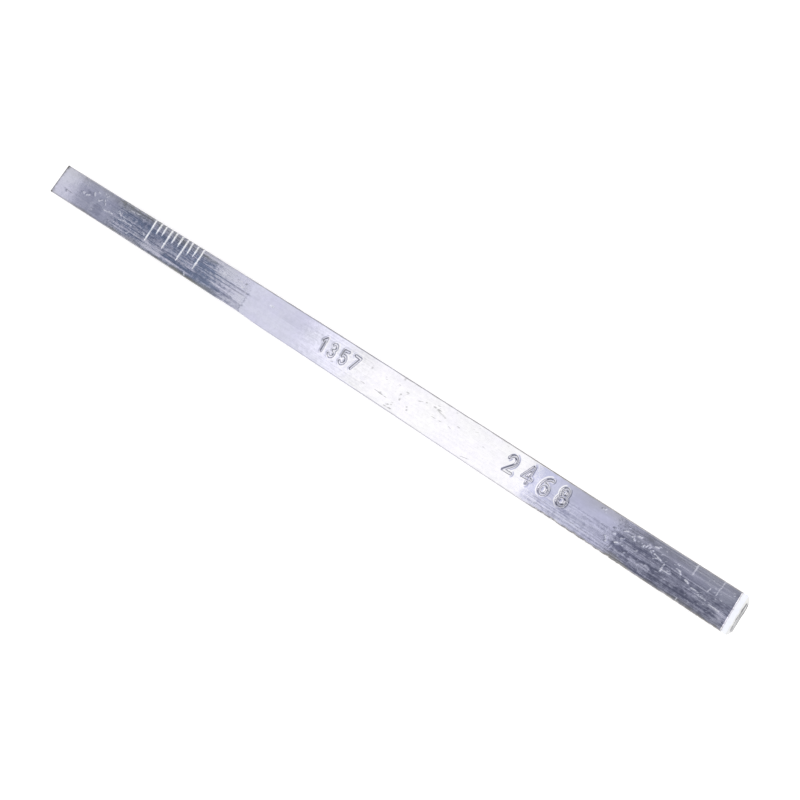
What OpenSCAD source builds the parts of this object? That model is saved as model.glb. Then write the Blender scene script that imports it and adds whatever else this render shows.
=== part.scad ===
// Solder bar: one flat bar of soft solder alloy, drawn to section and sheared to length.
// Origin: centre of the footprint, on the floor. +X runs along the bar, +Y across it, +Z is up.

/* [Bar] */
// Length over the longer edge, from cut to cut
bar_length = 345; // [200:1:450]
// Width across the flat face
bar_width = 12.5; // [9:0.5:20]
// Thickness, from the floor to the flat face
bar_thickness = 7; // [5:0.25:12]

/* [Long edges] */
// Radius of the two crisp edges beside the flat face
top_edge_radius = 0.4; // [0.2:0.1:0.8]
// Radius of the two soft edges that lie on the floor
bottom_edge_radius = 3.4; // [0.5:0.1:4]

/* [Sheared ends] */
// How far out of square the cut at the -X end is, in degrees
left_cut_angle = 4.5; // [0:0.5:8]
// How far out of square the cut at the +X end is, in degrees
right_cut_angle = 2; // [0:0.5:8]
// Radius that the blade rolls over at the top of each cut
roll_over = 0.3; // [0.2:0.1:0.8]
// Share of the thickness that the blade cuts square before the metal breaks
burnished_share = 0.55; // [0.4:0.05:0.7]
// Lean of the broken part of the cut below it, in degrees
break_angle = 1; // [0:0.5:10]

/* [Hidden] */
$fn = 64;
half_width = bar_width / 2;
break_height = bar_thickness * (1 - burnished_share);
// A cutting block reaches this far past the stock on every side
clearance = 5;

// Section of the stock, seen along X: crisp edges above, soft edges below
module stock_section() {
    for (side = [-1, 1]) {
        translate([side * (half_width - bottom_edge_radius), bottom_edge_radius])
            circle(r = bottom_edge_radius);
        translate([side * (half_width - top_edge_radius), bar_thickness - top_edge_radius])
            circle(r = top_edge_radius);
    }
    translate([-half_width, bottom_edge_radius])
        square([bar_width, bar_thickness - bottom_edge_radius - top_edge_radius]);
    translate([bottom_edge_radius - half_width, 0])
        square([bar_width - 2 * bottom_edge_radius, bottom_edge_radius]);
    translate([top_edge_radius - half_width, bar_thickness - 2 * top_edge_radius])
        square([bar_width - 2 * top_edge_radius, 2 * top_edge_radius]);
}

// What the blade takes away, seen along Y with the stock on its left
module shear_profile() {
    top = bar_thickness + clearance;
    break_depth = break_height * tan(break_angle);
    polygon([
        [0, top],
        [clearance * 3, top],
        [clearance * 3, -clearance],
        [-break_depth, -clearance],
        [-break_depth, 0],
        [0, break_height]
    ]);
    difference() {
        translate([-roll_over, bar_thickness - roll_over])
            square([2 * roll_over, clearance]);
        translate([-roll_over, bar_thickness - roll_over])
            circle(r = roll_over);
    }
}

// The waste beyond one cut, turned out of square about the stock's -Y edge
module sheared_off(angle) {
    translate([bar_length / 2, -half_width, 0])
        rotate([0, 0, angle])
            translate([0, bar_width + clearance, 0])
                rotate([90, 0, 0])
                    linear_extrude(height = bar_width + 2 * clearance)
                        shear_profile();
}

module solder_bar() {
    color([0.74, 0.75, 0.79])
        difference() {
            translate([-bar_length / 2, 0, 0])
                rotate([90, 0, 90])
                    linear_extrude(height = bar_length)
                        stock_section();
            sheared_off(right_cut_angle);
            mirror([1, 0, 0])
                sheared_off(left_cut_angle);
        }
}

solder_bar();
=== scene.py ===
import math

import bmesh
import bpy
import numpy as np
from mathutils import Matrix, Vector, noise


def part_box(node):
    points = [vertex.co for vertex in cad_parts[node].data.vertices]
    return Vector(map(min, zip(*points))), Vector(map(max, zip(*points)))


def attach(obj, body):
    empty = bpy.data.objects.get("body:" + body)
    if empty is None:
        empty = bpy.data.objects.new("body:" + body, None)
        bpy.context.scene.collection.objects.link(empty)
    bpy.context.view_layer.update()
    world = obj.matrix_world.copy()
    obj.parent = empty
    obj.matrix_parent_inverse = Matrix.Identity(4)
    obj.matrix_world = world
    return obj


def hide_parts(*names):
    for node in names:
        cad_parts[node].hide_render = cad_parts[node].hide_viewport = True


mm = 0.001
touching = 1e-4  # points closer than this, in mm, count as one place

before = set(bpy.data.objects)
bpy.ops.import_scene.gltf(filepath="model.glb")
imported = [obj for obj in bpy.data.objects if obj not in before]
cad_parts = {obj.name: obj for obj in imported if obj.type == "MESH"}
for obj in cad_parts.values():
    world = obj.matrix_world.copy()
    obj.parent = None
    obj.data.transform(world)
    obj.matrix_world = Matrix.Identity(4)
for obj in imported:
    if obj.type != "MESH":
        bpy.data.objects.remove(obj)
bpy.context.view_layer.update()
lowCorner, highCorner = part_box("solder_bar")
barLength = (highCorner.x - lowCorner.x) / mm
barWidth = (highCorner.y - lowCorner.y) / mm
barThickness = (highCorner.z - lowCorner.z) / mm
print(f"frame loaded: the bar is {barLength:.0f} x {barWidth:.1f} x {barThickness:.1f} mm")

barShape = {
    "topEdgeRadius": 0.4,  # the two crisp edges beside the flat face
    "bottomEdgeRadius": 3.4,  # the two soft edges on the floor
    "topEdgeSegments": 3,
    "bottomEdgeSegments": 8,
    "faceStrips": 64,  # lengthwise strips across the flat face
    "floorStrips": 5,
    "sideStrips": 3,
    "cutGrid": {"across": 0.4, "up": 0.3, "reach": 5.6, "foot": 0.4},  # the grid on each cut face
    "coarseStep": 1.2,  # distance between rings where nothing is marked
    "fineStretches": [  # start, end and ring distance where the face is marked
        (-170, -116, 0.4), (-114, -79, 0.22), (-77, -54, 0.9), (-53, -50, 0.3), (-49, -14, 0.9),
        (-12, 12, 0.19), (14, 76, 0.6), (78, 109, 0.19), (111, 126, 0.5), (127, 171, 0.3),
    ],
    "endRings": [0.05, 0.11, 0.18, 0.3, 0.5, 0.8, 1.3],  # ring distances from each cut
    "leftCutAngle": 4.5,  # degrees out of square, -X end
    "rightCutAngle": 2,  # degrees out of square, +X end
    "cutReach": 12,  # the rings near a cut slant with it and are square again this far from it
    "rollOver": 0.3,  # radius that the blade rolls over at the top of a cut
    "burnishedShare": 0.55,  # share of the thickness that is cut before the metal breaks
    "breakAngle": 1,  # degrees that the broken part leans
    "bow": [(-172, -0.35), (-106, 0.03), (-55, 0.34), (52, 0.14), (146, -0.22), (172, -0.36)],
    "waviness": 0.02,  # height of the slow waves that the die leaves in the flat face
    "quickWaves": 0.6,  # and how high the quick waves are against those
    "faceDepths": (1.4, 0.1),  # how far below the flat face the marks are gone, and where still whole
    "dieScores": [  # Y, half width, start and end along X, and strength of each score
        (0.95, 0.26, -82, -51, 2.6), (0.95, 0.14, -49, -18, 0.25), (-0.3, 0.2, -80, -53, 2.2),
        (-0.8, 0.14, -141, -121, -1.2), (-0.85, 0.15, -78, -53, -0.7), (-3.6, 0.18, -98, -53, 1.1),
        (-4.7, 0.15, -76, -52, 0.8), (-5.2, 0.15, -76, -56, -0.6), (2.1, 0.15, -80, -68, -0.6),
        (3.1, 0.12, -20, 0, 0.4), (0.3, 0.12, -30, -12, 0.3), (0.9, 0.15, 106, 128, 0.8),
        (-0.25, 0.13, 106, 130, 0.7), (-1.9, 0.14, 112, 120, 0.5), (-3.8, 0.14, 95, 130, 0.7),
        (-4.2, 0.13, 95, 125, -0.5), (-4.7, 0.15, 93, 130, 0.8), (1.2, 0.25, 128, 146, 0.9),
        (-2, 0.2, 127, 139, 0.9), (1.4, 0.14, 146, 166, 0.6), (-3.8, 0.16, 144, 167, 0.7),
    ],
    "scoreDepth": 0.014,  # of a score of strength 1
    "scoreEase": 2,  # how softly a score begins and ends along X
    "swellings": [  # side, start, end, softness and size of the stretches that are a little wider or narrower
        (-1, -44, 98, 6, 0.3), (-1, -64, -50, 3, -0.12), (-1, 98, 150, 3, 0.08),
        (1, 60, 180, 3, 0.07), (1, 120, 180, 3, 0.04),
    ],
    "swellingReach": (2.5, 5.95),  # how far out along Y a swelling starts and is full
    "swellingHeights": (1, 4),  # and how high up
    "raggedEdges": [  # side, start, end and depth of the stretches where an edge is chewed
        (-1, 12, 44, 0.05), (-1, 95, 134, 0.22), (1, 112, 168, 0.02), (-1, 140, 170, 0.08),
        (1, -60, -20, 0.06), (-1, -172, -140, 0.05),
    ],
    "raggedEase": 3,  # how softly such a stretch begins and ends
    "raggedReach": (0.9, 0.05),  # how far in from the edge it starts and is full
    "raggedHeights": (3, 0.5),  # how far below the flat face it starts and is full
    "raggedFull": 0.2,  # chewed this deep, the edge's painted shade is as dark as it gets
    "biteLevels": (-0.1, 0.5),  # the noise levels between which a bite deepens
    "smallBiteLevels": (0, 0.5),
    "smallBites": 0.5,  # how deep the small bites are against the others
}

noiseRuns = {  # how long and how wide the waves of each soft noise are, and its seed
    "slowWaves": (34, 14, 3.7), "quickWaves": (17, 5, 8.1),
    "bites": (1.7, 9, 33.1), "smallBites": (0.7, 9, 35.7),
    "longFray": (25, 0.55, 20.3), "shortFray": (3, 1.5, 27.1), "wander": (4, 1.6, 40.9),
    "rimBreaks": (3, 1, 61.7), "marginEdge": (9, 3, 51.2),
}


def drawnSection(bm):
    # the die's opening at the -X end: four corners, rounded, then cut into strips
    halfWidth = barWidth / 2
    start = -barLength / 2
    corners = [(-halfWidth, 0), (halfWidth, 0), (halfWidth, barThickness), (-halfWidth, barThickness)]
    verts = [bm.verts.new((start, y, z)) for y, z in corners]
    bm.faces.new(verts)
    for pair, radius, segments in (
        (verts[:2], barShape["bottomEdgeRadius"], barShape["bottomEdgeSegments"]),
        (verts[2:], barShape["topEdgeRadius"], barShape["topEdgeSegments"]),
    ):
        bmesh.ops.bevel(
            bm, geom=pair, offset=radius, offset_type="OFFSET", affect="VERTICES",
            segments=segments, profile=0.5, material=-1,
        )
    flats = [edge for edge in bm.edges if edge.calc_length() > barThickness / 3]
    for edge in flats:
        height = (edge.verts[0].co.z + edge.verts[1].co.z) / 2
        strips = barShape["sideStrips"]
        if height > barThickness - touching:
            strips = barShape["faceStrips"]
        elif height < touching:
            strips = barShape["floorStrips"]
        bmesh.ops.subdivide_edges(bm, edges=[edge], cuts=strips - 1)
    return list(bm.edges)


def stretchPlaces():
    # the places where the ring distance changes, from one end of the bar to the other
    half = barLength / 2
    places = [-half + distance for distance in barShape["endRings"]]
    for begin, end, step in barShape["fineStretches"]:
        places += [begin, end]
    return places + [half - distance for distance in reversed(barShape["endRings"])] + [half]


def pullEdges(bm, edges, move):
    # extrudes a row of edges and returns the row at its new place
    pulled = bmesh.ops.extrude_edge_only(bm, edges=edges)["geom"]
    verts = [item for item in pulled if isinstance(item, bmesh.types.BMVert)]
    bmesh.ops.translate(bm, verts=verts, vec=move)
    fresh = set(verts)
    return [item for item in pulled if isinstance(item, bmesh.types.BMEdge) and fresh.issuperset(item.verts)]


def drawBar():
    # pulls the section along the bar, closes both ends and rings each stretch
    bm = bmesh.new()
    ring = drawnSection(bm)
    x = -barLength / 2
    for place in stretchPlaces():
        ring = pullEdges(bm, ring, (place - x, 0, 0))
        x = place
    bmesh.ops.contextual_create(bm, geom=ring)
    for side in (-1, 1):
        gridCutFace(bm, side * barLength / 2)
    bmesh.ops.recalc_face_normals(bm, faces=bm.faces)
    addRings(bm)
    return bm


def addRings(bm):
    # rings between the stretches: close together under the marks, wide apart elsewhere
    steps = {begin: step for begin, end, step in barShape["fineStretches"]}
    lengthwise = {}
    for edge in bm.edges:
        begin, end = sorted(vert.co.x for vert in edge.verts)
        if end - begin > barShape["endRings"][-1]:
            lengthwise.setdefault((round(begin, 3), round(end, 3)), []).append(edge)
    for (begin, end), edges in lengthwise.items():
        cuts = round((end - begin) / steps.get(begin, barShape["coarseStep"])) - 1
        bmesh.ops.subdivide_edges(bm, edges=edges, cuts=cuts, use_grid_fill=True)


def gridCutFace(bm, place):
    # cuts an end face into a fine grid, so that its roll-over and lean are real shape
    grid = barShape["cutGrid"]
    acrossPlaces = np.arange(-grid["reach"], grid["reach"] + touching, grid["across"])
    heights = np.arange(grid["foot"], barThickness - grid["up"] / 2, grid["up"])
    planes = [(Vector((0, y, 0)), Vector((0, 1, 0))) for y in acrossPlaces]
    planes += [(Vector((0, 0, z)), Vector((0, 0, 1))) for z in heights]
    for point, normal in planes:
        faces = [face for face in bm.faces if all(abs(v.co.x - place) < touching for v in face.verts)]
        parts = dict.fromkeys(part for face in faces for part in (*face.edges, *face.verts))
        bmesh.ops.bisect_plane(bm, geom=faces + list(parts), dist=touching, plane_co=point, plane_no=normal)


def smoothStep(low, high, value):
    # 0 below low, 1 above high, eased between them; works on whole arrays
    share = np.clip((value - low) / (high - low), 0, 1)
    return share * share * (3 - 2 * share)


def bandCover(low, high, softness, value):
    # 1 between low and high, 0 outside, eased at both ends
    rise = smoothStep(low - softness, low + softness, value)
    return rise * smoothStep(-high - softness, softness - high, -value)


def softNoise(x, y, runX, runY, seed):
    # soft noise at every point, whose waves are runX long and runY wide
    return np.array([noise.noise(Vector((a / runX, b / runY, seed))) for a, b in zip(x, y)])


def barNoise(name, x, y):
    return softNoise(x, y, *noiseRuns[name])


def strokeDistance(x, y, path):
    # distance from every point to a pen path, which is a list of corners
    nearest = np.full(len(x), np.inf)
    for (ax, ay), (bx, by) in zip(path, path[1:]):
        reach = max((bx - ax) ** 2 + (by - ay) ** 2, 1e-9)
        share = np.clip(((x - ax) * (bx - ax) + (y - ay) * (by - ay)) / reach, 0, 1)
        nearest = np.minimum(nearest, np.hypot(x - ax - share * (bx - ax), y - ay - share * (by - ay)))
    return nearest


def arc(centreX, centreY, radiusX, radiusY, start, end, steps=12):
    # corners of a pen path along an ellipse, angles in degrees
    angles = np.radians(np.linspace(start, end, steps))
    return [(centreX + radiusX * math.cos(a), centreY + radiusY * math.sin(a)) for a in angles]


# pen paths of the punches, in a box one unit wide and one unit high
digitPaths = {
    "1": [[(0.2, 0.78), (0.6, 1), (0.6, 0)]],
    "2": [arc(0.5, 0.7, 0.46, 0.3, 165, -35) + [(0.02, 0), (1, 0)]],
    "3": [arc(0.46, 0.75, 0.42, 0.25, 150, -90), arc(0.46, 0.26, 0.5, 0.26, 90, -150)],
    "4": [[(0.7, 0), (0.7, 1), (0, 0.3), (1, 0.3)]],
    "5": [[(0.92, 1), (0.16, 1), (0.08, 0.55)] + arc(0.46, 0.32, 0.5, 0.32, 125, -145)],
    "6": [arc(0.5, 0.3, 0.46, 0.3, 0, 360, 20), arc(0.86, 0.32, 0.82, 0.68, 178, 88)],
    "7": [[(0, 1), (1, 1), (0.36, 0)]],
    "8": [arc(0.5, 0.77, 0.37, 0.23, 0, 360, 18), arc(0.5, 0.27, 0.47, 0.27, 0, 360, 20)],
}

punchMarks = {
    "strokeWidth": 1.05,  # across the groove, wall to wall
    "wallWidth": 0.28,  # how much of that each sloping wall takes
    "depth": 0.28,
    "lip": 0.045,  # metal pushed up beside the groove
    "lipPlace": 0.2,  # how far outside the groove the lip is highest
    "lipWidth": 0.22,
    "lipStart": 0.1,  # how far inside the groove it starts
    "force": (0.85, 1.1),  # the lightest and the hardest blow
    "unevenness": 0.08,  # how much shallower one side of a digit is, per mm
    "numbers": [  # digits, size of one along its strokes' middles, and where each one stands
        {
            "digits": "1357", "width": 2.7, "height": 4.6, "tilts": (4, -3, 5, -2),
            "wallTone": 0.95, "floorTone": 0.0,  # how dark the painted shade in the walls and on the floor is
            "places": [(-9.0, 0.6), (-4.0, 0.5), (1.7, 0.5), (7.0, 0.9)],
        },
        {
            "digits": "2468", "width": 3.5, "height": 5.4, "tilts": (2, 5, -3, 7),
            "wallTone": 1.0, "floorTone": 0.16,
            "places": [(82.3, 1.1), (89.8, 1.2), (97.4, 1.1), (104.9, 1.3)],
        },
    ],
}

tickMarks = {
    "count": 10,
    "first": -111.6,  # place of the first tick along the bar
    "pitch": 3.3,
    "longEvery": 3,
    "longTick": 8.6,  # length of every third tick, from the +Y edge
    "shortTick": 4.6,
    "width": 1.0,
    "depth": 0.2,
    "taper": 1.8,  # the foot of a tick narrows over this length
    "footWidth": 0.35,  # to this share of the tick's width
    "lean": 0.3,
    "lengthStray": 0.5,  # how much the lengths vary
    "placeStray": 0.2,  # and the places
    "force": (0.7, 1.1),  # the lightest and the hardest blow
    "brightDepth": 0.7,  # the share of its depth from which a tick is wholly bright
    "chatter": 0.25,  # how much of that brightness breaks up
    "chatterRun": (2 / 3, 10 / 9),  # how long and how wide the breaks in it are
    "chatterLevels": (-0.4, 0.2),  # the noise levels between which it comes back
}


def punchedRelief(x, y):
    # height of the punched digits against the face, and how much painted shade each point gets in the grooves
    relief = np.zeros(len(x))
    grooveShade = np.zeros(len(x))
    half = punchMarks["strokeWidth"] / 2
    rng = np.random.default_rng(seed=4)
    for number in punchMarks["numbers"]:
        for digit, tilt, (placeX, placeY) in zip(number["digits"], number["tilts"], number["places"]):
            turn = math.radians(tilt)
            force = rng.uniform(*punchMarks["force"])
            leanX, leanY = rng.uniform(-1, 1, 2) * punchMarks["unevenness"]
            # the point's place in the digit's own upright box
            u = (x - placeX) * math.cos(turn) + (y - placeY) * math.sin(turn)
            v = (y - placeY) * math.cos(turn) - (x - placeX) * math.sin(turn)
            near = (abs(u) < number["width"]) & (abs(v) < number["height"])
            distance = np.full(near.sum(), np.inf)
            for path in digitPaths[digit]:
                sized = [((a - 0.5) * number["width"], (b - 0.5) * number["height"]) for a, b in path]
                distance = np.minimum(distance, strokeDistance(u[near], v[near], sized))
            groove = 1 - smoothStep(half - punchMarks["wallWidth"], half, distance)
            fromLip = (distance - half - punchMarks["lipPlace"]) / punchMarks["lipWidth"]
            lip = np.exp(-(fromLip ** 2)) * (distance > half - punchMarks["lipStart"])
            uneven = force * (1 + leanX * u[near] + leanY * v[near])
            relief[near] += uneven * (lip * punchMarks["lip"] - groove * punchMarks["depth"])
            halfway = 4 * groove * (1 - groove)  # 1 halfway down a wall
            # painted shade, darkest halfway down each wall, with a share on the floor of the groove
            wall = number["wallTone"] * halfway + number["floorTone"] * groove
            grooveShade[near] = np.maximum(grooveShade[near], wall * uneven)
    return relief, grooveShade


def tickRelief(x, y):
    # a row of chisel ticks from the +Y edge, like a rule's; no two are struck alike
    relief = np.zeros(len(x))
    cover = np.zeros(len(x))
    rng = np.random.default_rng(seed=9)
    for index in range(tickMarks["count"]):
        length = tickMarks["shortTick"] if index % tickMarks["longEvery"] else tickMarks["longTick"]
        length += rng.uniform(-1, 1) * tickMarks["lengthStray"]
        lean = rng.uniform(-1, 1) * tickMarks["lean"]
        place = tickMarks["first"] + index * tickMarks["pitch"] + rng.uniform(-1, 1) * tickMarks["placeStray"]
        path = [(place + lean, barWidth / 2 + 1), (place, barWidth / 2 - length)]
        near = abs(x - place) < tickMarks["pitch"] / 2
        narrowing = 1 - smoothStep(0, tickMarks["taper"], y[near] - path[1][1])
        half = tickMarks["width"] / 2 * (1 - (1 - tickMarks["footWidth"]) * narrowing)
        distance = strokeDistance(x[near], y[near], path)
        groove = 1 - smoothStep(0, half, distance)
        relief[near] -= groove * tickMarks["depth"] * rng.uniform(*tickMarks["force"])
        chatter = softNoise(x[near], y[near], *tickMarks["chatterRun"], index)
        breaks = 1 - smoothStep(*tickMarks["chatterLevels"], chatter)
        bright = smoothStep(0, tickMarks["brightDepth"], groove) * (1 - tickMarks["chatter"] * breaks)
        cover[near] = np.maximum(cover[near], bright)
    return relief, cover


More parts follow.
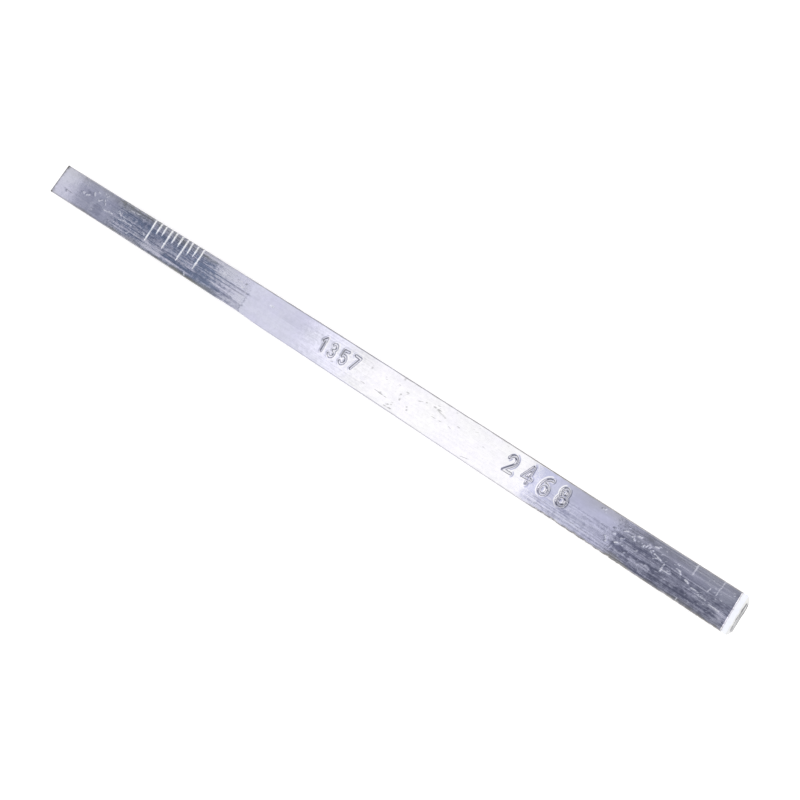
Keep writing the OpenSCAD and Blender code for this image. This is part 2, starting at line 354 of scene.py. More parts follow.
wear = {
    "nickDepth": 0.05,
    "darkNickDepth": 0.4,  # depth of the dark nicks, against the bright ones
    "darkNickShade": 0.68,  # how much painted shade they get
    "nickForce": (0.65, 1),  # the lightest and the hardest knock
    "nickCorners": 5,  # a nick zigzags over this many corners
    "nickStray": 0.15,  # and this far, against its width
    "nickFloor": 0.1,  # half the width of its flat floor
    "nickGap": 0.625,  # size of the gaps in it
    "nickLevels": (-0.5, 0),  # the noise levels between which a gap closes
    # nicks and scratches on the flat face: x, y, length, degrees turned, width
    "brightNicks": [
        (-155.3, 0.4, 1.1, 0, 0.9), (-152.4, 0.5, 1.9, 18, 0.6), (-149.2, 2, 1.3, -45, 0.8),
        (-147.3, 3.6, 0.7, 0, 0.6), (-145.2, 0.7, 0.8, 0, 0.5), (-144.1, 1.4, 2.2, 38, 0.4),
        (-141.6, 1.4, 2.6, -42, 0.45), (-136.2, -0.8, 3.2, 0, 0.45), (-139, -1.2, 2, 4, 0.35),
        (-131, 1, 2.5, -32, 0.55), (-127.6, 0, 2, -36, 0.55), (-125.2, -0.75, 7.5, 0, 0.45),
        (-129.3, -1.1, 1.6, 5, 0.45), (-124, 4.2, 5.4, 4, 0.4), (-122, -3.8, 1, 60, 0.5),
        (-113.9, -0.8, 1.2, -40, 0.45), (-66.7, 2.8, 1.3, -30, 0.7), (-38.6, 2, 0.9, 0, 0.6),
        (119.5, 5, 1.3, 20, 0.45), (120.4, 4.4, 1.2, -50, 0.35), (126.5, 4.3, 0.7, -10, 0.35),
        (126.5, 1.2, 1.8, -52, 0.35), (125, -2, 1.8, -48, 0.3), (129.7, 3, 1.1, 25, 0.4),
        (132.6, 2.8, 0.6, 20, 0.4), (133.4, 2.2, 0.8, -40, 0.4), (134.7, 3.8, 1.4, 8, 0.45),
        (129.9, 0.6, 1.3, 30, 0.55), (128.7, -1.4, 1.1, 25, 0.55), (137.4, 2.5, 0.9, 60, 0.36),
        (138.3, 2.6, 0.9, 50, 0.4), (139.3, 2.7, 0.9, 60, 0.4), (140.4, 2.2, 0.9, 40, 0.4),
        (141.4, 3.9, 1.2, 12, 0.4), (143.2, 1.6, 3, -12, 0.45), (142.6, 0.9, 1.6, 30, 0.35),
        (146.2, -0.2, 2.4, 88, 0.33), (147.4, -0.75, 3, 0, 0.38), (151.1, 1.7, 1.6, 0, 0.48),
        (152.4, 1, 1.5, -45, 0.4), (155.3, 0.3, 1.3, -20, 0.7), (155.8, 4.6, 3.4, 86, 0.4),
        (158.6, -0.5, 3, 0, 0.5), (161.9, -1.2, 3, 0, 0.7), (162.8, 1.9, 1.2, 78, 0.35),
        (167, -1.8, 4, -3, 0.5), (165.8, 3.8, 4.6, 84, 0.4), (155.5, -5.4, 1, 85, 0.4),
        (-84.3, -5.2, 1.3, -40, 0.6), (-55.5, 2.2, 1, 40, 0.5), (-57.6, 3.6, 0.6, 0, 0.4),
    ],
    # real dents whose dark look is painted shade
    "darkNicks": [
        (-163.2, -2.2, 5.4, -4, 0.4), (-164.4, -2.6, 1.3, -20, 0.7), (23.3, -2.5, 0.7, 20, 1.1),
        (22.9, -2.8, 6.4, -2, 0.3), (31.6, -1, 0.9, 80, 0.6), (31.7, -2.2, 1.2, 85, 0.3),
        (31, 0.3, 1, -60, 0.35), (14.6, 3, 1.8, 80, 0.4), (28.5, 2.9, 0.9, -40, 0.35),
        (29.1, 5.6, 0.9, 80, 0.5), (33.1, 2.2, 0.8, 0, 0.6), (39, 2, 1.7, 24, 0.4),
        (41.8, 2.7, 1.2, -50, 0.35), (22, 2.6, 1.2, -45, 0.3), (46.9, 3, 3.6, 0, 0.5),
        (49.2, 2.3, 4.6, -10, 0.5), (45.6, 3, 0.9, 0, 0.7), (46.6, 4.1, 1, 15, 0.25),
        (46.8, 0, 2, 0, 0.33), (50.2, 0.1, 1.2, 15, 0.33), (54.8, 0, 1, -20, 0.33),
        (36, -2.3, 1.6, -55, 0.4), (28.8, -4.2, 2.2, 20, 0.4), (28.8, -5.1, 3.4, 2, 0.35),
        (57.8, 1.7, 1, 0, 0.5), (70.4, 0.8, 0.6, 0, 0.5), (-1.9, -2.8, 0.7, 0, 0.6),
        (14.6, -3, 1, 0, 0.35), (-59.6, 3.6, 0.7, 0, 0.5), (-55, 3.6, 0.9, 60, 0.5),
        (-53.6, 2, 0.6, 40, 0.5), (66, -5, 3, 10, 0.25),
    ],
    "scatteredNicks": {  # start and end along X and Y, and how many small nicks are strewn there
        "bright": [
            (-150, -116, -5, 5, 22), (127.5, 171, -4.5, 2, 46), (128, 150, 1.8, 4.6, 12),
            (150, 171, 2, 5.6, 8), (-80, -52, 0, 5.5, 18),
        ],
        "dark": [
            (14, 36, -5.6, 5.4, 9), (36, 78, 3.4, 5.8, 7), (-62, -52, 1.5, 5, 12), (104, 128, -5, -1, 12),
        ],
    },
    "scatteredForce": 0.5,  # how deep those are, against the nicks listed one by one
    "scatteredSizes": {"length": (0.2, 0.9), "turn": (-45, 45), "width": (0.2, 0.4)},
    # patches are bands along the bar: start and end along X, start and end along Y, softness along X, amount
    "patchSoftness": 0.4,  # of every patch along Y
    "fray": 1.1,  # how far the ends of the patches break up into streaks
    "shortFray": 0.5,  # the short frays' share of that
    "wander": 0.5,  # how far the long sides of the patches stray
    # how strongly the die lines show
    "streakyPatches": [
        (-134, -66, -7, 7, 5, 0.75), (-160, -130, -7, 7, 3, 0.14), (-68, -51.6, -7, 7, 1, 0.4),
        (-84, -56, -7, 3.2, 3, 0.75), (127.5, 173, -7, 1.6, 1.6, 0.66), (127.8, 173, 1.6, 7, 1.2, 0.3),
        (100, 128, -7, 1.3, 4, 0.35), (93, 128, -7, -2.8, 4, 0.42), (-22, 16, -7, 7, 6, 0.16),
    ],
    "streaksElsewhere": 0.05,
    # darker and lighter patches
    "smudges": [
        (-172.5, -159.4, 0.5, 7, 0.3, 0.06), (-172.5, -157.8, -7, 0.5, 0.3, 0.06),
        (-158.8, -148.5, -7, 7, 0.4, -0.2), (-157, -147, -0.5, 3.8, 1, -0.1),
        (-146.2, -140.2, -4.6, -0.3, 1, -0.42), (-150, -133, -7, -3, 2, -0.12),
        (-146, -134, 0.2, 3.2, 2, -0.12), (-137.6, -134.4, 3.2, 4.7, 1, -0.25),
        (-153.2, -150.6, 0.9, 2.4, 0.6, -0.25), (-132.6, -112, 2.3, 7, 0.8, -0.38),
        (-131, -108, -2.1, 0, 2, -0.32), (-131, -108, 0, 2.3, 2, -0.2),
        (-123.5, -114, -4.6, -3.2, 1, -0.5), (-119, -108, -3.1, -2.1, 2, 0.4),
        (-112, -100, -5.4, -2.3, 2, 0.7), (-100, -82, -3.9, -3.1, 2, -0.45), (-99, -89, -5, -4, 1.5, 0.5),
        (-93, -80, -6.4, -5, 2, -0.35), (-99, -80, 2.7, 5.5, 1, -0.35), (-109, -80, -2.5, 2.4, 3, -0.2),
        (-81.5, -72, -2.9, -0.9, 2, -0.55), (-81.5, -70, 0.4, 4.6, 3, -0.4),
        (-81, -66, -7, -3.1, 3, -0.51), (-68, -58, -7, -3.4, 3, -0.12), (-82, -52, 4.6, 7, 1, 0.5),
        (-72, -52, 1.5, 4.5, 3, 0.45), (-60, -52, -0.7, 1.5, 2, 0.3), (-72, -62, -3.1, -1, 3, -0.15),
        (-57.2, -51.8, -3.2, -0.6, 0.4, 0.45), (-78, -68, 2, 2.5, 2, 0.4),
        (-77.5, -58, -1.1, -0.6, 2, 0.45), (-52, -51.4, -6.8, -1, 0.2, -0.7),
        (-52.1, -51.3, -1.2, 3.4, 0.25, -0.35), (-66, -53, 3.2, 7, 2, 0.3), (-66, -53, -3, 3.2, 2, 0.07),
        (-158, -134, 3, 7, 2, 0.08), (-158, -149, 3, 7, 1, 0.08), (-66, -54, -7, -3, 2, 0.08),
        (-130, -113, -7, -3, 2, 0.15), (-78, -68, -2.8, 3, 2, -0.12), (97, 106, -7, -3, 1, -0.12),
        (-70, -52, -3, 7, 2, 0.22), (-122, -84, 0.4, 7, 3, -0.08), (-102, -84, -5.4, -4, 2, -0.15),
        (127.5, 146, -7, 1.1, 1, -0.3), (143, 158, -7, -1.4, 2, -0.12), (-40, -22, 0.2, 7, 5, -0.1),
        (-28, 0, 0.8, 7, 5, -0.08), (2, 17, 2.6, 7, 3, -0.14), (17, 80, 3.8, 7, 4, -0.05),
        (88.5, 99, 2.2, 7, 1.6, -0.16), (105, 127, 1.3, 7, 3, -0.27), (106, 127, -2.4, 1.3, 3, -0.1),
        (127, 144, 0.4, 1.7, 1, -0.45), (143, 166, 1.2, 1.9, 2, -0.2), (127.5, 137, -0.6, 0, 1, -0.35),
        (127, 146, -2.3, -1.6, 1, -0.45), (129.5, 136, -7, -2.6, 1, -0.12),
        (135.6, 143.3, -4.3, -2.3, 0.3, 0.45), (143.5, 170, -7, -2.6, 1.2, -0.2),
        (156, 167, -4.3, -3.4, 2, -0.2), (136, 144, -7, -4.7, 1, -0.15), (145, 158, -0.5, 0.9, 3, -0.1),
        (162, 172, -1.4, 1.2, 2, -0.12), (168.6, 170.8, -5, -1.8, 0.5, 0.35),
        (141, 149, -1.6, 1, 1.5, 0.1), (106.5, 110.5, -3.4, -1.8, 0.6, -0.3), (150, 170, 0.2, 3, 3, 0.2),
        (140, 173, 3, 7, 2, 0.28), (152, 168, -4.2, -0.4, 1.5, -0.3), (145, 150, -2.6, -0.8, 1, -0.2),
        (-132, -112, 4.4, 7, 1, 0.22), (-131, -108, -7, 7, 1, -0.04), (-78, -69, 3.2, 5.2, 2, 0.1),
        (167.5, 171.5, 1.2, 4.2, 0.6, 0.15), (140, 170, -7, -3.4, 2, 0.1), (150, 170, 0.2, 7, 2, 0.08),
    ],
    "rims": {  # how far in the painted dark reflection along each edge reaches
        "farCut": 1.5, "nearCut": 0.4, "plusY": 0.5, "minusY": 0.8, "farCorners": 2.6,
    },
    "rimStrengths": {  # places along the bar and how dark the painted reflection on the rim is there
        "farCut": ([0], [0.85]), "nearCut": ([0], [0.25]), "farCorners": ([0], [1.4]),
        "plusY": (
            [-150, -130, -110, -62, -46, 86, 92, 102, 106, 126],
            [0.3, 0.15, 0.1, 0.42, 0.82, 0.85, 1.3, 1.2, 0.8, 0.7],
        ),
        "minusY": ([-62, -48, -10, 10, 50, 70, 88, 100], [0.1, 0.02, 0.02, 0.14, 0.14, 0.28, 0.3, 0.16]),
    },
    "dustyMargin": 0.75,  # how neutral the margins along both edges are, away from the middle of the bar
    "dustyStart": 0.2,  # the margins are whole this far in from the edge
    "dustyReach": {"plusY": 3.8, "minusY": 1.6},  # and gone this far in
    "dustyGap": (-80, -58, 98, 118),  # they fade out between the first two places and in between the last
    "sideDarkening": 0.5,  # how much darker the sides and the underside are made than the flat face
    "raggedRim": 0.75,  # how dark the painted shade on the rim is where the edge is chewed
    "rimBreaks": 0.6,  # how much the reach of the rim varies
}


def nickField(x, y, nicks, seed):
    # how deep each point lies in a nick, from 0 to 1; a nick is a short ragged zigzag, broken along its run
    cover = np.zeros(len(x))
    rng = np.random.default_rng(seed)
    for placeX, placeY, length, turn, width in nicks:
        force = rng.uniform(*wear["nickForce"])
        alongX = math.cos(math.radians(turn))
        alongY = math.sin(math.radians(turn))
        corners = wear["nickCorners"]
        runs = np.linspace(-0.5, 0.5, corners) * length
        strays = rng.uniform(-1, 1, corners) * wear["nickStray"] * width
        path = [
            (placeX + run * alongX - stray * alongY, placeY + run * alongY + stray * alongX)
            for run, stray in zip(runs, strays)
        ]
        near = np.flatnonzero(np.hypot(x - placeX, y - placeY) < length / 2 + width)
        distance = strokeDistance(x[near], y[near], path)
        groove = 1 - smoothStep(wear["nickFloor"], width / 2, distance)
        gaps = softNoise(x[near], y[near], wear["nickGap"], wear["nickGap"], seed)
        whole = smoothStep(*wear["nickLevels"], gaps)
        cover[near] = np.maximum(cover[near], force * groove * whole)
    return cover


def patchReach(x, y, patch):
    # the patch's amount inside its band, 0 outside it, eased between them
    startX, endX, startY, endY, softness, amount = patch
    alongY = bandCover(startY, endY, wear["patchSoftness"], y)
    return amount * bandCover(startX, endX, softness, x) * alongY


def scatterNicks(kind, seed):
    # short nicks strewn over the stretches that have been knocked about most
    rng = np.random.default_rng(seed)
    nicks = []
    for startX, endX, startY, endY, count in wear["scatteredNicks"][kind]:
        placesX = rng.uniform(startX, endX, count)
        placesY = rng.uniform(startY, endY, count)
        sizes = [rng.uniform(*limits, count) for limits in wear["scatteredSizes"].values()]
        nicks += zip(placesX, placesY, *sizes)
    return nicks


def rimField(x, y, ragged):
    # how dark the painted reflection of the room is at each point of the flat face's rim, with painted shade
    # where the edge is chewed
    half = barWidth / 2
    breaks = wear["rimBreaks"] * barNoise("rimBreaks", x, y)
    fromFarCut = x + barLength / 2
    distances = {
        "farCut": fromFarCut, "nearCut": barLength / 2 - x, "plusY": half - y, "minusY": half + y,
        "farCorners": np.hypot(fromFarCut, half - abs(y)),
    }
    rim = np.zeros(len(x))
    for edge, reach in wear["rims"].items():
        strength = np.interp(x, *wear["rimStrengths"][edge])
        if edge == "minusY":
            strength = strength + (wear["raggedRim"] - strength) * ragged
        fade = 1 - smoothStep(0, reach * (1 + breaks), distances[edge])
        rim = np.maximum(rim, np.minimum(strength * fade, 1))
    return rim


def wearFields(x, y):
    # how streaky, smudged and scored each point is, and how deep it lies in bright and dark nicks
    strewn = wear["scatteredForce"]
    brightNicks = nickField(x, y, wear["brightNicks"], seed=3)
    darkNicks = nickField(x, y, wear["darkNicks"], seed=6)
    brightStrewn = strewn * nickField(x, y, scatterNicks("bright", seed=12), seed=5)
    darkStrewn = strewn * nickField(x, y, scatterNicks("dark", seed=14), seed=8)
    brightNicks = np.maximum(brightNicks, brightStrewn)
    darkNicks = np.maximum(darkNicks, darkStrewn)
    fray = barNoise("longFray", x, y) + wear["shortFray"] * barNoise("shortFray", x, y)
    frayed = x + wear["fray"] * fray
    wandered = y + wear["wander"] * barNoise("wander", x, y)
    streaky = np.full(len(x), wear["streaksElsewhere"])
    for patch in wear["streakyPatches"]:
        streaky = np.maximum(streaky, patchReach(frayed, wandered, patch))
    smudges = sum(patchReach(frayed, wandered, patch) for patch in wear["smudges"])
    scores = sum(
        strength * np.exp(-(((y - place) / half) ** 2)) * bandCover(begin, end, barShape["scoreEase"], x)
        for place, half, begin, end, strength in barShape["dieScores"]
    )
    return brightNicks, darkNicks, streaky, smudges, scores


def chewEdges(x, y, z):
    # moves the points of the two long edges where they are chewed; also says how ragged the -Y edge is
    bites = smoothStep(*barShape["biteLevels"], barNoise("bites", x, y))
    smallBites = smoothStep(*barShape["smallBiteLevels"], barNoise("smallBites", x, y))
    bites += barShape["smallBites"] * smallBites
    startIn, fullIn = barShape["raggedReach"]
    startBelow, fullBelow = barShape["raggedHeights"]
    chewed = np.zeros(len(x))
    ragged = np.zeros(len(x))
    for side, begin, end, depth in barShape["raggedEdges"]:
        along = bandCover(begin, end, barShape["raggedEase"], x)
        atEdge = smoothStep(barWidth / 2 - startIn, barWidth / 2 - fullIn, side * y)
        chewed += side * depth * along * atEdge * bites
        if side < 0:
            ragged = np.maximum(ragged, along * min(1, depth / barShape["raggedFull"]))
    return y - chewed * smoothStep(barThickness - startBelow, barThickness - fullBelow, z), ragged


def swellSides(x, y, z):
    # moves the points of the two sides where the bar is a little wider or narrower
    for side, begin, end, soft, size in barShape["swellings"]:
        spread = bandCover(begin, end, soft, x) * smoothStep(*barShape["swellingReach"], side * y)
        y = y + side * size * spread * smoothStep(*barShape["swellingHeights"], z)
    return y


def shearEnds(x, y, z, onFace):
    # both ends: the cut's angle, the blade's roll-over and the leaning break
    breakHeight = barThickness * (1 - barShape["burnishedShare"])
    radius = barShape["rollOver"]
    for side, angle in ((-1, barShape["leftCutAngle"]), (1, barShape["rightCutAngle"])):
        distance = barLength / 2 - side * x
        nearCut = 1 - smoothStep(0, barShape["cutReach"], distance)
        rolled = np.clip(radius - distance, 0, None)
        drop = radius - np.sqrt(np.clip(radius ** 2 - rolled ** 2, 0, None))
        z = np.where(z > barThickness - radius, z - drop * onFace, z)
        lean = np.clip(breakHeight - z, 0, None) * math.tan(math.radians(barShape["breakAngle"]))
        skew = (y + barWidth / 2) * math.tan(math.radians(angle))
        x = x - side * nearCut * (skew + lean)
    return x, z


def marginField(x, y, stray):
    # how dusty each point of the margins along both edges is; stray moves their inner outline
    reach = np.where(y > 0, wear["dustyReach"]["plusY"], wear["dustyReach"]["minusY"])
    fromRim = barWidth / 2 - abs(y) + stray
    margin = wear["dustyMargin"] * (1 - smoothStep(wear["dustyStart"], reach, fromRim))
    fading, gone, returning, back = wear["dustyGap"]
    return margin * (1 - smoothStep(fading, gone, x) * smoothStep(-back, -returning, -x))


def sculptBar(mesh):
    # moves the straight blank's points into the real bar, and stores where it is worn
    points = np.empty(len(mesh.vertices) * 3)
    mesh.vertices.foreach_get("co", points)
    x, y, z = points.reshape(-1, 3).T.copy()

    fadeBelow, wholeBelow = barShape["faceDepths"]
    onFace = smoothStep(barThickness - fadeBelow, barThickness - wholeBelow, z)
    waves = barNoise("slowWaves", x, y)
    waves += barShape["quickWaves"] * barNoise("quickWaves", x, y)
    punched, grooveShade = punchedRelief(x, y)
    ticks, tickCover = tickRelief(x, y)
    brightNicks, darkNicks, streaky, smudges, scores = wearFields(x, y)
    nicks = wear["nickDepth"] * np.maximum(brightNicks, wear["darkNickDepth"] * darkNicks)
    relief = waves * barShape["waviness"] + punched + ticks - nicks - scores * barShape["scoreDepth"]
    z = z + onFace * relief

    straightY = y
    y, ragged = chewEdges(x, y, z)
    y = swellSides(x, y, z)
    rims = rimField(x, straightY, ragged)
    margin = marginField(x, straightY, barNoise("marginEdge", x, y))
    x, z = shearEnds(x, y, z, onFace)
    places, offsets = zip(*barShape["bow"])
    y = y + np.polyval(np.polyfit(places, offsets, deg=4), x)

    mesh.vertices.foreach_set("co", (np.column_stack([x, y, z]) * mm).ravel())
    for name, values in (
        # painted shade in the punched grooves and the dark nicks
        ("paintedShade", np.maximum(grooveShade, wear["darkNickShade"] * darkNicks) * onFace),
        # painted dark reflection along the edges
        ("paintedRimReflection", rims * onFace),
        ("dusty", margin * onFace),
        ("freshMetal", np.maximum(brightNicks, tickCover) * onFace),
        ("streaky", streaky),
        ("scored", scores * onFace),
        # smudges on the flat face; below it the sides and underside are made darker
        ("smudgesAndDarkerSides", smudges * onFace - wear["sideDarkening"] * (1 - onFace)),
    ):
        mesh.attributes.new(name, "FLOAT", "POINT").data.foreach_set("value", values)
    mesh.update()


def addObject(name, data):
    item = bpy.data.objects.new(name, data)
    bpy.context.scene.collection.objects.link(item)
    return item


bm = drawBar()
print("bar drawn:", len(bm.verts), "points,", len(bm.faces), "faces")
bm.normal_update()
for face in bm.faces:
    onCut = all(abs(abs(vert.co.x) - barLength / 2) < touching for vert in face.verts)
    face.material_index = 1 if onCut else 0
    face.smooth = True
for edge in bm.edges:
    if len({face.material_index for face in edge.link_faces}) == 2:
        edge.smooth = False
barMesh = bpy.data.meshes.new("solderBar")
bm.to_mesh(barMesh)
bm.free()
sculptBar(barMesh)
solderBar = addObject("solderBar", barMesh)
print("bar sculpted: cuts, punched digits, ticks, nicks and bow")


class NodeBench:
    # a short way to place nodes in a material or group and join them
    def __init__(self, tree):
        self.tree = tree

    def add(self, kind, values=None, **settings):
        node = self.tree.nodes.new(kind)
        for name, value in settings.items():
            setattr(node, name, value)
        for socket, value in (values or {}).items():
            self.feed(node.inputs[socket], value)
        return node

    def feed(self, socket, value):
        if isinstance(value, bpy.types.NodeSocket):
            self.tree.links.new(value, socket)
        else:
            socket.default_value = value

    def maths(self, operation, first, second=0.0):
        return self.add("ShaderNodeMath", {0: first, 1: second}, operation=operation).outputs[0]

    def blend(self, *parts):
        # a weighted sum of values
        total = 0.0
        for value, weight in parts:
            node = self.add("ShaderNodeMath", {0: value, 1: weight, 2: total}, operation="MULTIPLY_ADD")
            total = node.outputs[0]
        return total

    def clamp(self, value):
        return self.maths("MINIMUM", self.maths("MAXIMUM", value, 0.0), 1.0)

    def ramp(self, value, low, high, toLow=0.0, toHigh=1.0):
        limits = {"From Min": low, "From Max": high, "To Min": toLow, "To Max": toHigh}
        node = self.add("ShaderNodeMapRange", {"Value": value, **limits}, interpolation_type="SMOOTHSTEP")
        return node.outputs["Result"]

    def group(self, tree, **values):
        node = self.add("ShaderNodeGroup", node_tree=tree)
        for name, value in values.items():
            self.feed(node.inputs[name], value)
        return node.outputs[0]

    def mix(self, share, first, second):
        node = self.add("ShaderNodeMix", {0: share, 6: first, 7: second}, data_type="RGBA")
        return node.outputs[2]


def maskGroup(name, inputs, output):
    # an empty group with its sockets, the bench to fill it and what comes in
    group = bpy.data.node_groups.new(name, "ShaderNodeTree")
    group.interface.new_socket(name="Coordinates", in_out="INPUT", socket_type="NodeSocketVector")
    for socket in inputs:
        group.interface.new_socket(name=socket, in_out="INPUT", socket_type="NodeSocketFloat")
    group.interface.new_socket(name=output, in_out="OUTPUT", socket_type="NodeSocketFloat")
    bench = NodeBench(group)
    return group, bench, bench.add("NodeGroupInput").outputs


def stretchedNoise(bench, inlet, along, across, detail, roughness):
    # noise with its own scale along X and the same one across it in Y and Z
    scales = bench.add("ShaderNodeCombineXYZ", {0: along, 1: across, 2: across}).outputs[0]
    stretched = bench.add(
        "ShaderNodeVectorMath", {0: inlet["Coordinates"], 1: scales}, operation="MULTIPLY",
    ).outputs[0]
    values = {"Vector": stretched, "W": inlet["Seed"], "Scale": 1.0, "Detail": detail, "Roughness": roughness}
    return bench.add("ShaderNodeTexNoise", values, noise_dimensions="4D").outputs["Fac"]


def dieLinesGroup():
    # lines that the die draws along the bar: long in X, fine in Y and Z
    group, bench, inlet = maskGroup("dieLines", ("Run", "Pitch", "Seed"), "Lines")
    along = bench.maths("DIVIDE", 1.0, inlet["Run"])
    across = bench.maths("DIVIDE", 1.0, inlet["Pitch"])
    lines = stretchedNoise(bench, inlet, along, across, detail=3.0, roughness=0.6)
    bench.add("NodeGroupOutput", {"Lines": lines})
    return group


def mottleGroup():
    # soft cloudy patches, such as oxide and finger marks
    group, bench, inlet = maskGroup("mottle", ("Size", "Stretch", "Seed"), "Cover")
    across = bench.maths("DIVIDE", 1.0, inlet["Size"])
    along = bench.maths("DIVIDE", across, inlet["Stretch"])
    cloud = stretchedNoise(bench, inlet, along, across, detail=5.0, roughness=0.55)
    bench.add("NodeGroupOutput", {"Cover": bench.ramp(cloud, 0.35, 0.65)})
    return group


dieLines = dieLinesGroup()
mottle = mottleGroup()


def lineMask(bench, place, run, pitch, seed):
    return bench.group(dieLines, Coordinates=place, Run=run * mm, Pitch=pitch * mm, Seed=seed)


def patchMask(bench, place, size, stretch, seed):
    return bench.group(mottle, Coordinates=place, Size=size * mm, Stretch=stretch, Seed=seed)


solderFinish = {
    "cleanMetal": (0.80, 0.78, 0.87, 1),
    "greyMetal": (0.79, 0.78, 0.83, 1),
    "dullOxide": (0.285, 0.288, 0.365, 1),
    "blueOxide": (0.28, 0.325, 0.435, 1),  # beside the tick marks
    "blueStretch": (-150, -125, -75, -55),  # where that begins, is full, starts to fade and ends along X
    "blueHeights": (6.2, 6.8),  # below the first height there is none
    "paintedShadeTone": (0.17, 0.17, 0.18, 1),  # painted shade in the walls of the punched marks and in the dark nicks
    "paintedRimReflection": (0.18, 0.17, 0.145, 1),  # painted dark reflection of the room along the rounded edges, warm against the blue room light
    "dusty": (0.47, 0.45, 0.37, 1),  # margins beside the edges
    "dustyOnClean": 0.3,  # how much of the dust shows on clean metal
    "dustyOnDull": 0.8,  # and how much more of it on dull metal
    "freshMetal": (0.95, 0.95, 0.97, 1),
    "lines": {  # die lines: how long one is, how far apart they are, and a seed
        "fine": (60, 0.42, 1.0), "broad": (90, 1.0, 5.0), "bands": (50, 3.0, 9.0), "scuffs": (30, 0.8, 21.0),
    },
    "patches": {  # mottling: size of a patch, its length for its width, and a seed
        "cloud": (4.0, 3.0, 2.0), "grain": (1.1, 1.5, 7.0),
        "speckle": (0.5, 3.0, 17.0), "tint": (7.0, 1.8, 31.0),
    },
    "lineMix": {"fine": 0.5, "broad": 0.32, "bands": 0.18},  # what all the lines together are made of
    # the noise levels between which lines go dark or scuffed
    "levels": {"all": (0.45, 0.54), "broad": (0.44, 0.56), "fine": (0.45, 0.55), "scuffs": (0.46, 0.6)},
    "darkMix": {"all": 0.4, "broad": 0.3, "fine": 0.3},  # what the dark lines are made of
    # how much oxide each of these brings, and how much haze
    "oxide": {"streaks": 0.9, "speckle": 1.3, "cloud": 0.07, "grain": 0.05, "smudges": 0.8, "scores": 0.32},
    "haze": {"scuffs": 0.8, "grain": 0.25, "smudges": 0.7, "cloud": 0.06},
    "smoothest": 0.045,
    "roughest": 0.36,
    "freshRough": 0.2,  # how much rougher still the bright nicks and ticks are
    "lineHeight": 0.18,  # of the die lines, for the bump only
    "grainHeight": 0.002,
    "stretchedGloss": 0.8,  # how far the gloss stretches across the die lines
}


def newMetal(name):
    # a bare metal, the bench to work on it and its shader
    material = bpy.data.materials.new(name)
    material.use_nodes = True
    shader = material.node_tree.nodes["Principled BSDF"]
    shader.inputs["Metallic"].default_value = 1.0
    return material, NodeBench(material.node_tree), shader


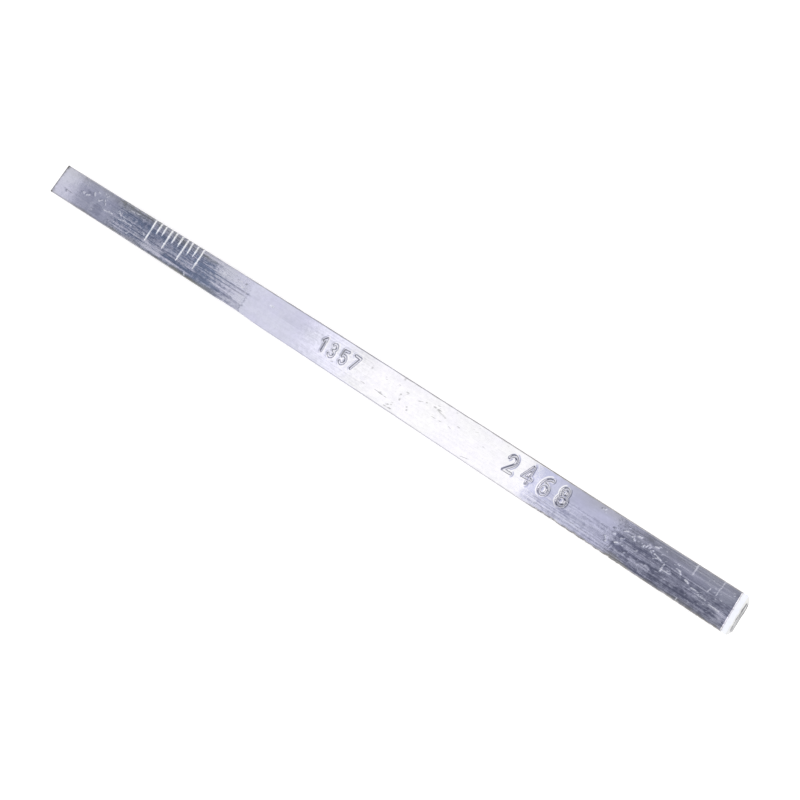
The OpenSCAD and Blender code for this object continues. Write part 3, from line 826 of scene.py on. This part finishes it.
def solderMaterial():
    # streaky, smudged metal whose colour and shine follow the wear stored on the mesh
    material, bench, shader = newMetal("solderAlloy")
    place = bench.add("ShaderNodeTexCoord").outputs["Object"]
    paintedShade, paintedRimReflection, dusty, fresh, streaky, scored, smudgesAndDarkerSides = (
        bench.add("ShaderNodeAttribute", attribute_name=name).outputs["Fac"]
        for name in ("paintedShade", "paintedRimReflection", "dusty", "freshMetal", "streaky", "scored", "smudgesAndDarkerSides")
    )
    fine, broad, bands, scuffs = (lineMask(bench, place, *sizes) for sizes in solderFinish["lines"].values())
    cloud, grain, speckle, tint = (
        patchMask(bench, place, *sizes) for sizes in solderFinish["patches"].values()
    )

    # dark oxide in streaks and smudges; the sides and underside are darkened through the same mix
    oxide = solderFinish["oxide"]
    levels = solderFinish["levels"]
    lines = bench.blend(*zip((fine, broad, bands), solderFinish["lineMix"].values()))
    darkened = (
        bench.ramp(lines, *levels["all"]),
        bench.ramp(broad, *levels["broad"]),
        bench.ramp(fine, *levels["fine"]),
    )
    darkLines = bench.blend(*zip(darkened, solderFinish["darkMix"].values()))
    streaks = bench.maths("MULTIPLY", darkLines, streaky)
    speckled = bench.maths("MULTIPLY", bench.blend((grain, 0.5), (speckle, 0.5), (1.0, -0.5)), streaky)
    dull = bench.clamp(bench.blend(
        (cloud, oxide["cloud"]), (grain, oxide["grain"]), (speckled, oxide["speckle"]),
        (streaks, oxide["streaks"]), (smudgesAndDarkerSides, -oxide["smudges"]),
    ))
    dull = bench.clamp(bench.blend((dull, 1.0), (scored, oxide["scores"])))

    # the colours, from the metal up to the dust on it, then the painted reflection along the edges and the
    # painted shade in the marks
    axes = bench.add("ShaderNodeSeparateXYZ", {0: place}).outputs
    begin, full, fade, end = (x * mm for x in solderFinish["blueStretch"])
    low, high = (z * mm for z in solderFinish["blueHeights"])
    blue = bench.maths("MULTIPLY", bench.ramp(axes["X"], begin, full), bench.ramp(axes["X"], end, fade))
    blue = bench.maths("MULTIPLY", blue, bench.ramp(axes["Z"], low, high))
    clean = bench.mix(tint, solderFinish["cleanMetal"], solderFinish["greyMetal"])
    oxideTone = bench.mix(blue, solderFinish["dullOxide"], solderFinish["blueOxide"])
    dust = bench.blend((dull, solderFinish["dustyOnDull"]), (1.0, solderFinish["dustyOnClean"]))
    tone = bench.mix(dull, clean, oxideTone)
    tone = bench.mix(bench.maths("MULTIPLY", dusty, dust), tone, solderFinish["dusty"])
    # painted dark reflection along the rounded edges
    tone = bench.mix(paintedRimReflection, tone, solderFinish["paintedRimReflection"])
    # painted shade in the punched grooves and the dark nicks
    tone = bench.mix(paintedShade, tone, solderFinish["paintedShadeTone"])
    bench.feed(shader.inputs["Base Color"], bench.mix(fresh, tone, solderFinish["freshMetal"]))

    # scuffed lines and patches scatter the light; the rest stays close to a mirror
    haze = solderFinish["haze"]
    scuffable = bench.blend((streaky, haze["scuffs"]), (grain, haze["grain"]))
    scuffed = bench.maths("MULTIPLY", bench.ramp(scuffs, *levels["scuffs"]), scuffable)
    hazy = bench.clamp(bench.blend(
        (scuffed, 1.0), (smudgesAndDarkerSides, haze["smudges"]), (cloud, haze["cloud"]), (fresh, 1.0),
    ))
    span = solderFinish["roughest"] - solderFinish["smoothest"]
    rough = bench.blend((hazy, span), (fresh, solderFinish["freshRough"]), (1.0, solderFinish["smoothest"]))
    bench.feed(shader.inputs["Roughness"], rough)
    relief = bench.maths("MULTIPLY", bench.maths("SUBTRACT", lines, 0.5), streaky)
    lineBump = bench.add("ShaderNodeBump", {"Height": relief, "Distance": solderFinish["lineHeight"] * mm})
    grainBump = bench.add("ShaderNodeBump", {
        "Height": grain, "Distance": solderFinish["grainHeight"] * mm, "Normal": lineBump.outputs["Normal"],
    })
    bench.feed(shader.inputs["Normal"], grainBump.outputs["Normal"])
    shader.inputs["Anisotropic"].default_value = solderFinish["stretchedGloss"]
    across = bench.add("ShaderNodeTangent", direction_type="UV_MAP", uv_map="drawDirection")
    bench.feed(shader.inputs["Tangent"], across.outputs[0])
    return material


cutFinish = {
    "burnished": (0.74, 0.76, 0.83, 1),
    "broken": (0.73, 0.74, 0.74, 1),
    # dark burr tone: torn metal with painted shade where the cut meets the floor
    "burrAndContactShade": (0.22, 0.22, 0.24, 1),
    "lineWander": 0.5,  # how far the break line strays up and down
    "wanderPatch": (2.5, 1.0, 11.0),  # size, stretch and seed of what moves it
    "breakSoftness": 0.5,
    "uprightLines": (12, 0.5, 13.0),  # length, distance and seed of the lines that the blade leaves
    "burrLines": (12, 0.6, 18.0),  # and of the lines that break up the burr
    "burrLevels": (0.44, 0.52),  # the noise levels between which those turn into burr
    "burnishedRough": 0.3,
    "brokenRough": 0.5,
    "burrHeights": (2.7, 2.1),  # the torn burr and its painted contact shade along the foot of the cut end between these
    "burrMiddle": -0.5,  # its middle along Y
    "burrReach": (4.9, 4.1),  # how far to either side of that it is gone, and where it is still full
    "farBurr": 0.45,  # how strong it is at the -X end, against the +X end
    "lineRelief": 0.3,  # depth of the upright lines, against the burr's
    "reliefHeight": 0.15,
}


def cutMaterial():
    # the sheared ends: burnished above with fine upright lines, broken below, with a torn burr at the foot
    # that also carries painted shade from the floor contact
    material, bench, shader = newMetal("shearedMetal")
    place = bench.add("ShaderNodeTexCoord").outputs["Object"]
    axes = bench.add("ShaderNodeSeparateXYZ", {0: place}).outputs
    wander = patchMask(bench, place, *cutFinish["wanderPatch"])
    breakLine = barThickness * (1 - barShape["burnishedShare"])
    height = bench.blend((axes["Z"], 1 / mm), (wander, cutFinish["lineWander"]))
    broken = bench.ramp(height, breakLine + cutFinish["breakSoftness"], breakLine)
    quarterTurn = math.radians(90)
    upended = bench.add("ShaderNodeMapping", {"Vector": place, "Rotation": (0, quarterTurn, 0)}).outputs[0]
    upright = lineMask(bench, upended, *cutFinish["uprightLines"])
    turned = bench.add("ShaderNodeMapping", {"Vector": place, "Rotation": (0, 0, quarterTurn)}).outputs[0]
    teeth = lineMask(bench, turned, *cutFinish["burrLines"])

    # the burr and its painted contact shade lie along the foot, stop short of the sides and are weaker at the
    # -X end
    fromMiddle = bench.maths("ABSOLUTE", bench.blend((axes["Y"], 1 / mm), (1.0, -cutFinish["burrMiddle"])))
    foot = bench.ramp(height, *cutFinish["burrHeights"])
    foot = bench.maths("MULTIPLY", foot, bench.ramp(fromMiddle, *cutFinish["burrReach"]))
    strength = bench.ramp(axes["X"], lowCorner.x, highCorner.x, cutFinish["farBurr"], 1.0)
    foot = bench.maths("MULTIPLY", foot, strength)
    burrAndContactShade = bench.maths("MULTIPLY", bench.ramp(teeth, *cutFinish["burrLevels"]), foot)

    tone = bench.mix(broken, cutFinish["burnished"], cutFinish["broken"])
    # the burr darkens the foot of the cut: torn teeth plus painted contact shade
    bench.feed(shader.inputs["Base Color"], bench.mix(burrAndContactShade, tone, cutFinish["burrAndContactShade"]))
    rough = bench.ramp(broken, 0.0, 1.0, cutFinish["burnishedRough"], cutFinish["brokenRough"])
    bench.feed(shader.inputs["Roughness"], rough)
    relief = bench.blend((upright, cutFinish["lineRelief"]), (burrAndContactShade, -1.0))
    bump = bench.add("ShaderNodeBump", {"Height": relief, "Distance": cutFinish["reliefHeight"] * mm})
    bench.feed(shader.inputs["Normal"], bump.outputs["Normal"])
    return material


def addDrawDirection(mesh):
    # a UV map whose U runs across the bar, so that the gloss stretches across the die lines
    layer = mesh.uv_layers.new(name="drawDirection")
    places = np.empty(len(mesh.vertices) * 3)
    mesh.vertices.foreach_get("co", places)
    corners = np.empty(len(mesh.loops), dtype=np.int32)
    mesh.loops.foreach_get("vertex_index", corners)
    places = places.reshape(-1, 3)[corners]
    across = places[:, 1] - places[:, 2]
    layer.data.foreach_set("uv", np.column_stack([across, places[:, 0]]).ravel() / (barLength * mm))


addDrawDirection(barMesh)
barMesh.materials.append(solderMaterial())
barMesh.materials.append(cutMaterial())
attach(solderBar, "root")
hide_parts("solder_bar")
print("bar dressed")

studio = {
    "roomLevel": 0.38,  # how bright the room between the lamps is
    "panelHeight": 307,  # the overhead panels hang this high
    "tints": {
        "room": (0.78, 0.82, 1.0), "lilac": (0.95, 0.95, 1.0), "blue": (0.82, 0.85, 1.0),
        "white": (1.0, 1.0, 1.0), "cream": (1.0, 0.99, 0.86), "warm": (1.0, 0.98, 0.93),
        "haze": (0.86, 0.87, 1.0), "ice": (0.95, 0.985, 1.0),
    },
    "panels": [  # name, start and end along X, start and end along Y, brightness, tint
        ("endStrip", -640, -519, -400, 400, 0.46, "white"),
        ("endHaze", -519, -476, -400, 400, 0.17, "blue"),
        ("farVeil", -367, -344, -400, 400, 0.515, "ice"),
        ("farScrim", -344, -322, -400, 400, 0.57, "lilac"),
        ("farCentreScrim", -322, -287, -400, 400, 0.6, "lilac"),
        ("centreScrim", -287, -271, -400, 400, 0.82, "white"),
        ("nearCentreScrim", -271, -255, -400, 400, 0.9, "white"),
        ("softboxRim", -255, -242, -400, 400, 0.88, "cream"),
        ("mainSoftbox", -242, -111, -400, 400, 0.99, "cream"),
        ("nearVeil", -111, -98, -400, 400, 0.64, "blue"),
        ("nearScrim", -98, -54, -400, 400, 0.505, "haze"),
        ("farFrontStrip", -519, -367, -320, -60, 0.6, "white"),
        ("farBackStrip", -519, -367, 60, 320, 0.4, "white"),
        ("nearFrontStrip", -54, 60, -320, -60, 0.5, "white"),
        ("nearBackStrip", -54, 60, 60, 320, 0.35, "white"),
        ("overheadFill", 160, 660, -300, 300, 1.4, "warm"),
    ],
    "sweepRadius": 3000,  # the white floor turns up into a low wall this far out
    "sweepHeight": 800,
    "sweepCorners": 96,
    "floorColour": (0.83, 0.81, 0.77, 1),
    "floorLift": 0.55,  # what the floor adds to its own shading where it is seen
    "farLift": 0.95,  # what it adds far from the lamps
    "liftReach": (350, 1000),  # the lift rises between these distances from the bar
}


def addPanel(name, startX, endX, startY, endY, brightness, tint):
    lamp = bpy.data.lights.new(name, "AREA")
    lamp.shape = "RECTANGLE"
    lamp.size = (endX - startX) * mm
    lamp.size_y = (endY - startY) * mm
    lamp.energy = brightness * math.pi * lamp.size * lamp.size_y
    lamp.color = studio["tints"][tint]
    panel = addObject(name, lamp)
    panel.location = Vector(((startX + endX) / 2, (startY + endY) / 2, studio["panelHeight"])) * mm
    panel.visible_camera = False


for panel in studio["panels"]:
    addPanel(*panel)

world = bpy.data.worlds.new("studioRoom")
world.use_nodes = True
background = world.node_tree.nodes["Background"]
background.inputs["Color"].default_value = (*studio["tints"]["room"], 1)
background.inputs["Strength"].default_value = studio["roomLevel"]
bpy.context.scene.world = world


def floorPaint():
    # matt white that shows the object's shadow, lifted to white where it is looked at
    material = bpy.data.materials.new("whiteFloor")
    material.use_nodes = True
    material.node_tree.nodes.clear()
    bench = NodeBench(material.node_tree)
    paint = bench.add("ShaderNodeBsdfDiffuse", {"Color": studio["floorColour"]}).outputs[0]
    rays = bench.add("ShaderNodeLightPath").outputs
    seen = bench.maths("MAXIMUM", rays["Is Camera Ray"], rays["Is Glossy Ray"])
    seen = bench.maths("MAXIMUM", seen, rays["Is Transmission Ray"])
    place = bench.add("ShaderNodeTexCoord").outputs["Object"]
    distance = bench.add("ShaderNodeVectorMath", {0: place}, operation="LENGTH").outputs["Value"]
    begin, end = studio["liftReach"]
    lift = bench.ramp(distance, begin * mm, end * mm, studio["floorLift"], studio["farLift"])
    glow = bench.add("ShaderNodeEmission", {"Strength": bench.maths("MULTIPLY", seen, lift)}).outputs[0]
    both = bench.add("ShaderNodeAddShader", {0: paint, 1: glow}).outputs[0]
    bench.add("ShaderNodeOutputMaterial", {"Surface": both})
    return material


def addSweep():
    # a round white floor with a low wall, so that low views end in white too
    bm = bmesh.new()
    radius = studio["sweepRadius"] * mm
    bmesh.ops.create_circle(bm, cap_ends=True, radius=radius, segments=studio["sweepCorners"])
    pullEdges(bm, [edge for edge in bm.edges if edge.is_boundary], (0, 0, studio["sweepHeight"] * mm))
    mesh = bpy.data.meshes.new("whiteSweep")
    bm.to_mesh(mesh)
    bm.free()
    mesh.materials.append(floorPaint())
    sweep = addObject("whiteSweep", mesh)


addSweep()

cameraView = {
    "lens": 86.1,
    "nearLimit": 10,  # nothing nearer than this is drawn
    "distance": 621,
    "lean": 38.7,  # degrees from straight above, towards +X
    "roll": 32.9,  # degrees that the bar falls to the right of the frame
    "aim": (31.8, -0.9, 7),  # the point on the flat face at the middle of the frame
}


def addCamera():
    lean = math.radians(cameraView["lean"])
    roll = math.radians(cameraView["roll"])
    back = Vector((math.sin(lean), 0, math.cos(lean)))
    level = Vector((math.cos(lean), 0, -math.sin(lean)))
    right = level * math.cos(roll) + Vector((0, 1, 0)) * math.sin(roll)
    up = Vector((0, 1, 0)) * math.cos(roll) - level * math.sin(roll)
    lens = bpy.data.cameras.new("camera")
    lens.lens = cameraView["lens"]
    lens.clip_start = cameraView["nearLimit"] * mm
    camera = addObject("camera", lens)
    place = (Vector(cameraView["aim"]) + back * cameraView["distance"]) * mm
    camera.matrix_world = Matrix.Translation(place) @ Matrix((right, up, back)).transposed().to_4x4()
    bpy.context.scene.camera = camera


addCamera()
bpy.context.scene.view_settings.view_transform = "Standard"
print("studio ready")
